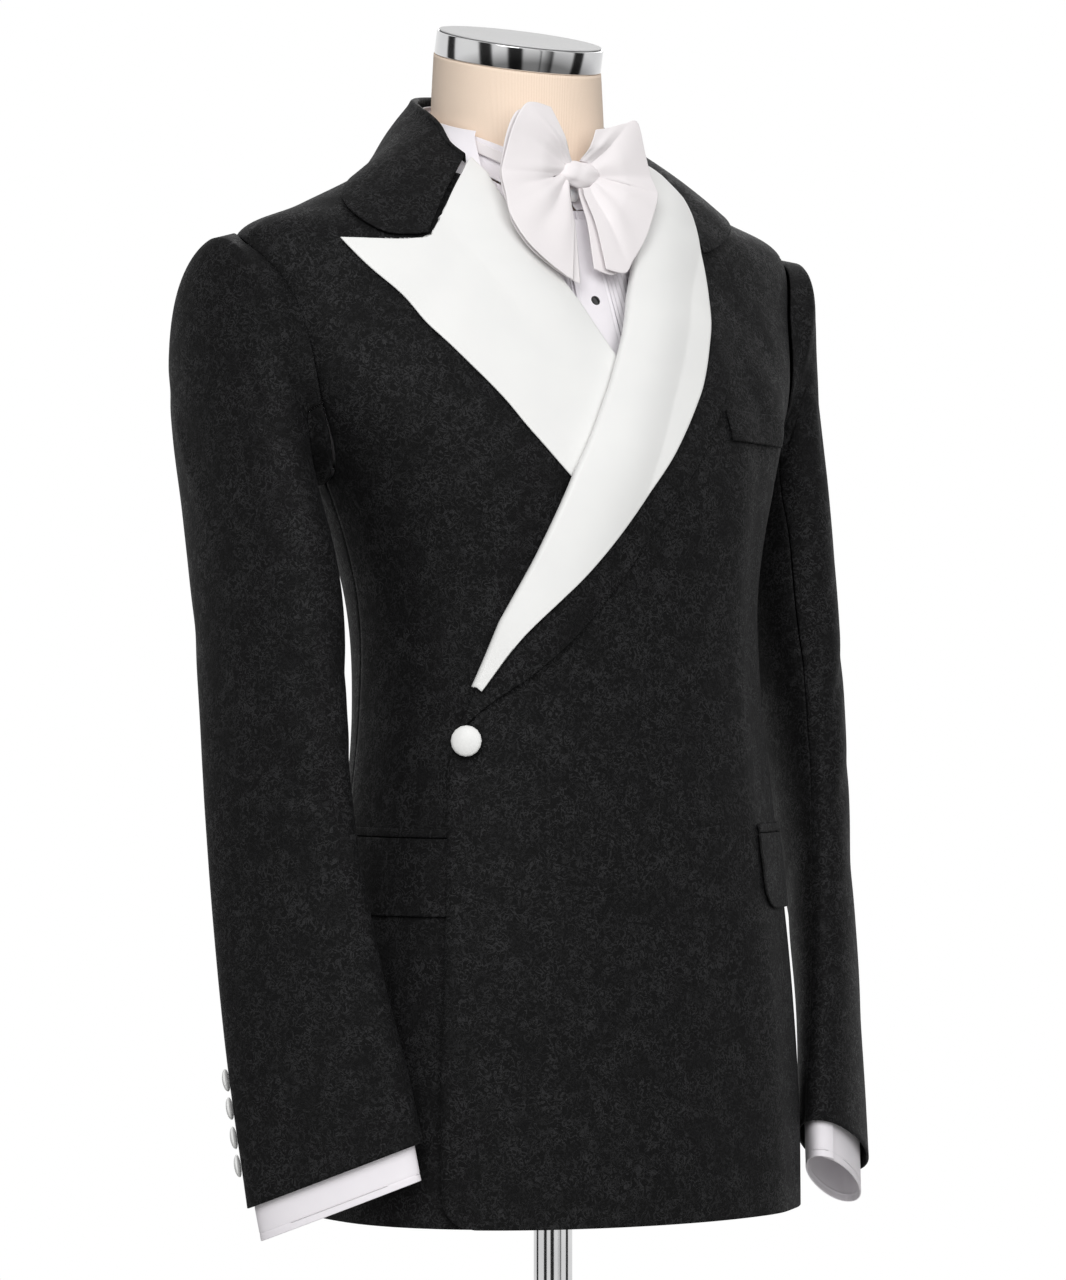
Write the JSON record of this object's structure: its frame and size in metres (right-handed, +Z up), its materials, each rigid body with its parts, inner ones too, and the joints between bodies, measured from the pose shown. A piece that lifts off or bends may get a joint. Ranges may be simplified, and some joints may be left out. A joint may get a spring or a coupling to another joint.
{
  "type": "tuxedo on a dress form",
  "caption": "Double-breasted tuxedo jacket with satin and jacquard lapels, tucked dress shirt and bow tie, worn by a limbless dress form on a round-based stand.",
  "frame": {"origin": "centre of the underside of the stand's round base, where it rests on the floor", "axes": "+Z up, -Y towards the front of the wearer, +X towards the wearer's left"},
  "size_m": [0.5226, 0.36, 1.5181],
  "materials": {
    "black_jacquard": "black jacquard with a fine dark grey fleck",
    "white_satin": "white satin",
    "white_shirting": "white cotton shirting with narrow tucks",
    "bow_silk": "soft white silk",
    "beige_jersey": "fine ribbed jersey",
    "polished_chrome": "polished",
    "grey_plate": "satin light grey",
    "pearl": "pearl",
    "onyx": "polished black"
  },
  "bodies": {
    "root": {"bow_knot": "bow_silk", "bow_tie_band": "bow_silk", "bow_wing_back_left": "bow_silk", "bow_wing_back_right": "bow_silk", "bow_wing_front_left": "bow_silk", "bow_wing_front_right": "bow_silk", "breast_welt": "black_jacquard", "cuff_button_left_1": "white_satin", "cuff_button_left_2": "white_satin", "cuff_button_left_3": "white_satin", "cuff_button_left_4": "white_satin", "cuff_button_right_1": "white_satin", "cuff_button_right_2": "white_satin", "cuff_button_right_3": "white_satin", "cuff_button_right_4": "white_satin", "form_body": "beige_jersey", "front_button": "white_satin", "jacket_back_left": "black_jacquard", "jacket_back_right": "black_jacquard", "jacket_collar": "black_jacquard", "jacket_front_left": "black_jacquard", "jacket_front_right": "black_jacquard", "lapel_left_black": "black_jacquard", "lapel_right_white": "white_satin", "neck_band": "polished_chrome", "neck_plate": "grey_plate", "pocket_flap_left": "black_jacquard", "pocket_flap_right": "black_jacquard", "pocket_jet_left": "black_jacquard", "pocket_jet_right": "black_jacquard", "shawl_left_white": "white_satin", "shirt_back": "white_shirting", "shirt_button_pearl": "pearl", "shirt_collar_leaf": "white_shirting", "shirt_collar_stand": "white_shirting", "shirt_cuff_left": "white_shirting", "shirt_cuff_right": "white_shirting", "shirt_front_left": "white_shirting", "shirt_front_right": "white_shirting", "shirt_placket": "white_shirting", "shirt_stud": "onyx", "sleeve_top_left": "black_jacquard", "sleeve_top_right": "black_jacquard", "sleeve_under_left": "black_jacquard", "sleeve_under_right": "black_jacquard", "stand_base": "polished_chrome", "stand_pole": "polished_chrome"}
  },
  "joints": []
}
